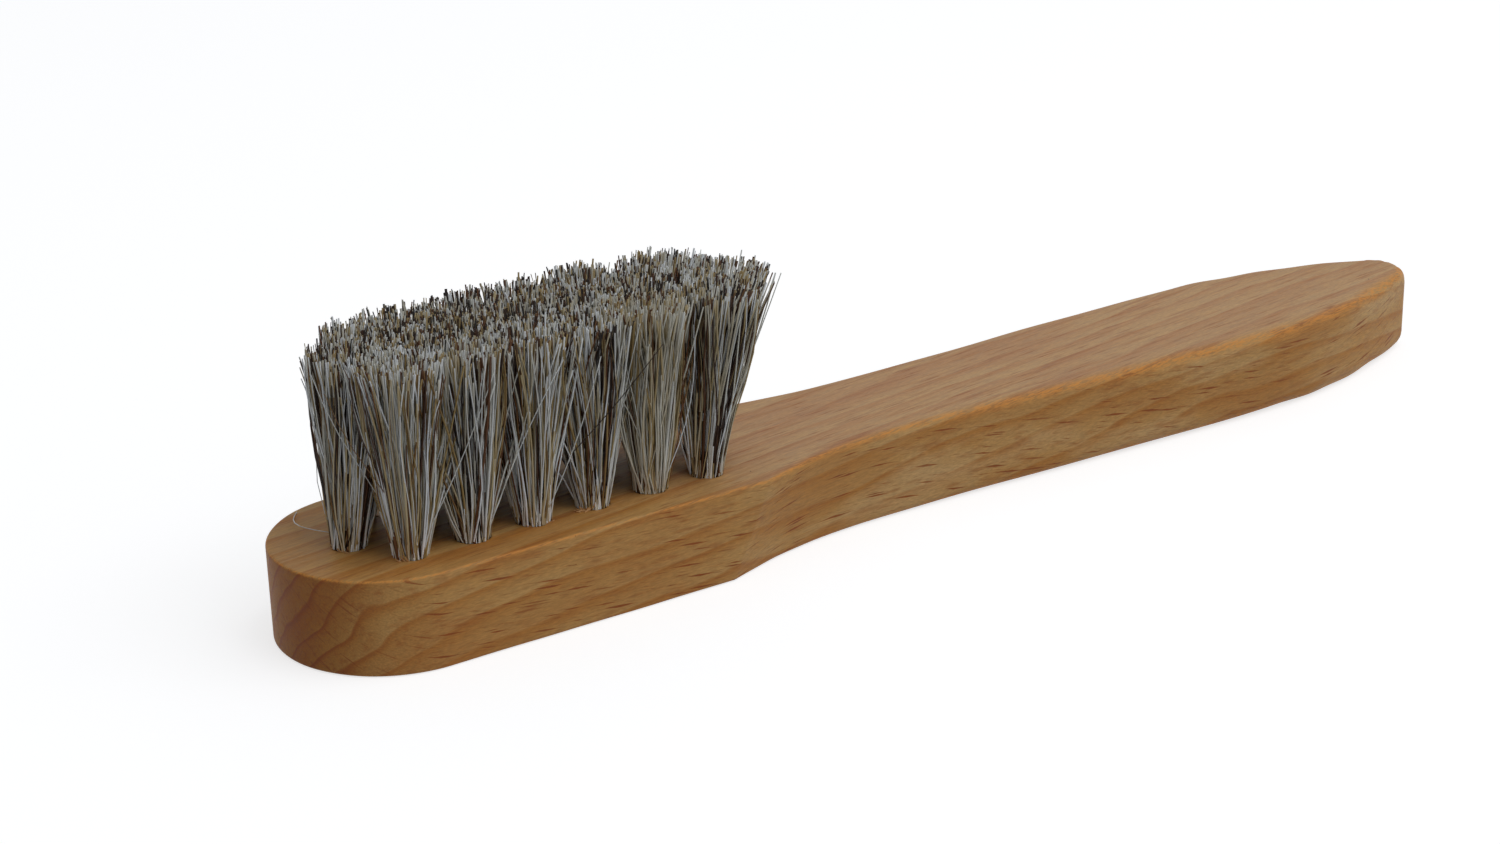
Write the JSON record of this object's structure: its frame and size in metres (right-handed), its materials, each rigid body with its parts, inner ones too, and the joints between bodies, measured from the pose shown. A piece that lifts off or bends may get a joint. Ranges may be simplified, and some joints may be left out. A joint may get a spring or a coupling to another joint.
{
  "type": "shoe polish applicator brush",
  "caption": "Flat beech shoe polish applicator brush with a round head, a slim handle and staggered rows of short stapled horsehair tufts.",
  "frame": {"origin": "middle of the board's underside, below the middle of the brush's length and width", "axes": "+X from the round head to the end of the handle, +Z from the board up to the hair tips, +Y across the board"},
  "size_m": [0.18, 0.028, 0.0355],
  "materials": {
    "waxed_beech": "sanded and waxed, warm orange brown with fine ray flecks",
    "grey_horsehair": "mixed grey, tan and dark hair, cut level at the tips",
    "staple_wire": "drawn wire, bare"
  },
  "bodies": {
    "root": {"beech_handle": "waxed_beech", "near_row_bristles": "grey_horsehair", "middle_row_bristles": "grey_horsehair", "far_row_bristles": "grey_horsehair", "near_row_staple_1": "staple_wire", "near_row_staple_2": "staple_wire", "near_row_staple_3": "staple_wire", "near_row_staple_4": "staple_wire", "near_row_staple_5": "staple_wire", "near_row_staple_6": "staple_wire", "middle_row_staple_1": "staple_wire", "middle_row_staple_2": "staple_wire", "middle_row_staple_3": "staple_wire", "middle_row_staple_4": "staple_wire", "middle_row_staple_5": "staple_wire", "middle_row_staple_6": "staple_wire", "middle_row_staple_7": "staple_wire", "far_row_staple_1": "staple_wire", "far_row_staple_2": "staple_wire", "far_row_staple_3": "staple_wire", "far_row_staple_4": "staple_wire", "far_row_staple_5": "staple_wire", "far_row_staple_6": "staple_wire"}
  },
  "joints": []
}
